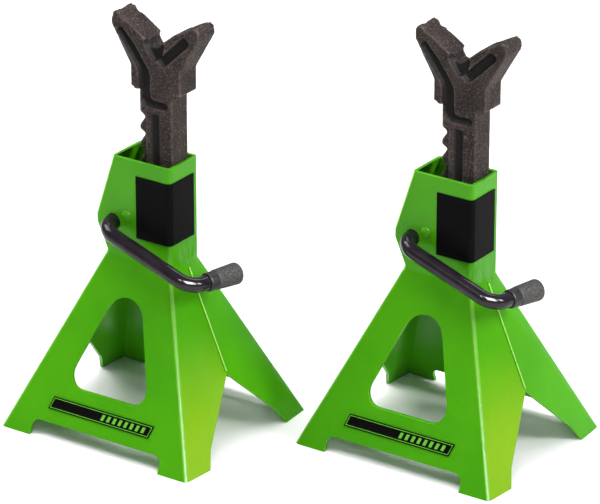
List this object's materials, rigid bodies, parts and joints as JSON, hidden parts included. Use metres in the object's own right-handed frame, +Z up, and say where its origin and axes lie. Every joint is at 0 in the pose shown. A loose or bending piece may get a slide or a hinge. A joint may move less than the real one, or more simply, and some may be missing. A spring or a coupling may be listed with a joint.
{
  "type": "axle jack stands",
  "caption": "Matched ratcheting axle jack stands: pressed steel base with windowed legs, cast ratchet bar with V saddle and a bent locking handle.",
  "frame": {"origin": "the point on the floor midway between the middles of the two stands' bases", "axes": "+Z up; the windowed front face and the handle arm face -Y; the ratchet teeth and pawl housing are towards -X of each bar"},
  "size_m": [0.4544, 0.309, 0.3971],
  "materials": {
    "green_paint": "gloss bright green powder coat on pressed steel",
    "cast_iron": "rough sand-cast ductile iron with a thin dark brown-black coat",
    "black_rod": "gloss black dipped steel rod",
    "grip_rubber": "matt black moulded sleeve",
    "plain_steel": "bare and zinc-plated steel",
    "black_label": "satin black vinyl film, blank"
  },
  "bodies": {
    "left_base": {"left_front_shell": "green_paint", "left_back_shell": "green_paint", "left_front_guide": "plain_steel", "left_back_guide": "plain_steel", "left_pawl_stop_pin": "green_paint", "left_neck_label": "black_label", "left_rail_decal": "black_label"},
    "left_bar": {"left_ratchet_bar": "cast_iron", "left_bar_stop_pin": "plain_steel"},
    "left_handle": {"left_handle_rod": "black_rod", "left_handle_grip": "grip_rubber", "left_rod_cap": "plain_steel", "left_pawl": "plain_steel", "left_roll_pin": "plain_steel"},
    "right_base": {"right_front_shell": "green_paint", "right_back_shell": "green_paint", "right_front_guide": "plain_steel", "right_back_guide": "plain_steel", "right_pawl_stop_pin": "green_paint", "right_neck_label": "black_label", "right_rail_decal": "black_label"},
    "right_bar": {"right_ratchet_bar": "cast_iron", "right_bar_stop_pin": "plain_steel"},
    "right_handle": {"right_handle_rod": "black_rod", "right_handle_grip": "grip_rubber", "right_rod_cap": "plain_steel", "right_pawl": "plain_steel", "right_roll_pin": "plain_steel"}
  },
  "joints": [
    {"name": "stand_spacing", "type": "slide", "parent": "left_base", "child": "right_base", "axis": [1, 0, 0], "range_m": [0, 0.5]},
    {"name": "left_bar_lift", "type": "slide", "parent": "left_base", "child": "left_bar", "axis": [0, 0, 1], "range_m": [-0.0495, 0.0495]},
    {"name": "left_handle_pivot", "type": "hinge", "parent": "left_base", "child": "left_handle", "pos_m": [-0.1465, -0.061, 0.197], "axis": [0, -1, 0], "range_deg": [0, 25]},
    {"name": "right_bar_lift", "type": "slide", "parent": "right_base", "child": "right_bar", "axis": [0, 0, 1], "range_m": [-0.0495, 0.0495]},
    {"name": "right_handle_pivot", "type": "hinge", "parent": "right_base", "child": "right_handle", "pos_m": [0.0945, 0.061, 0.197], "axis": [0, -1, 0], "range_deg": [0, 25]}
  ]
}
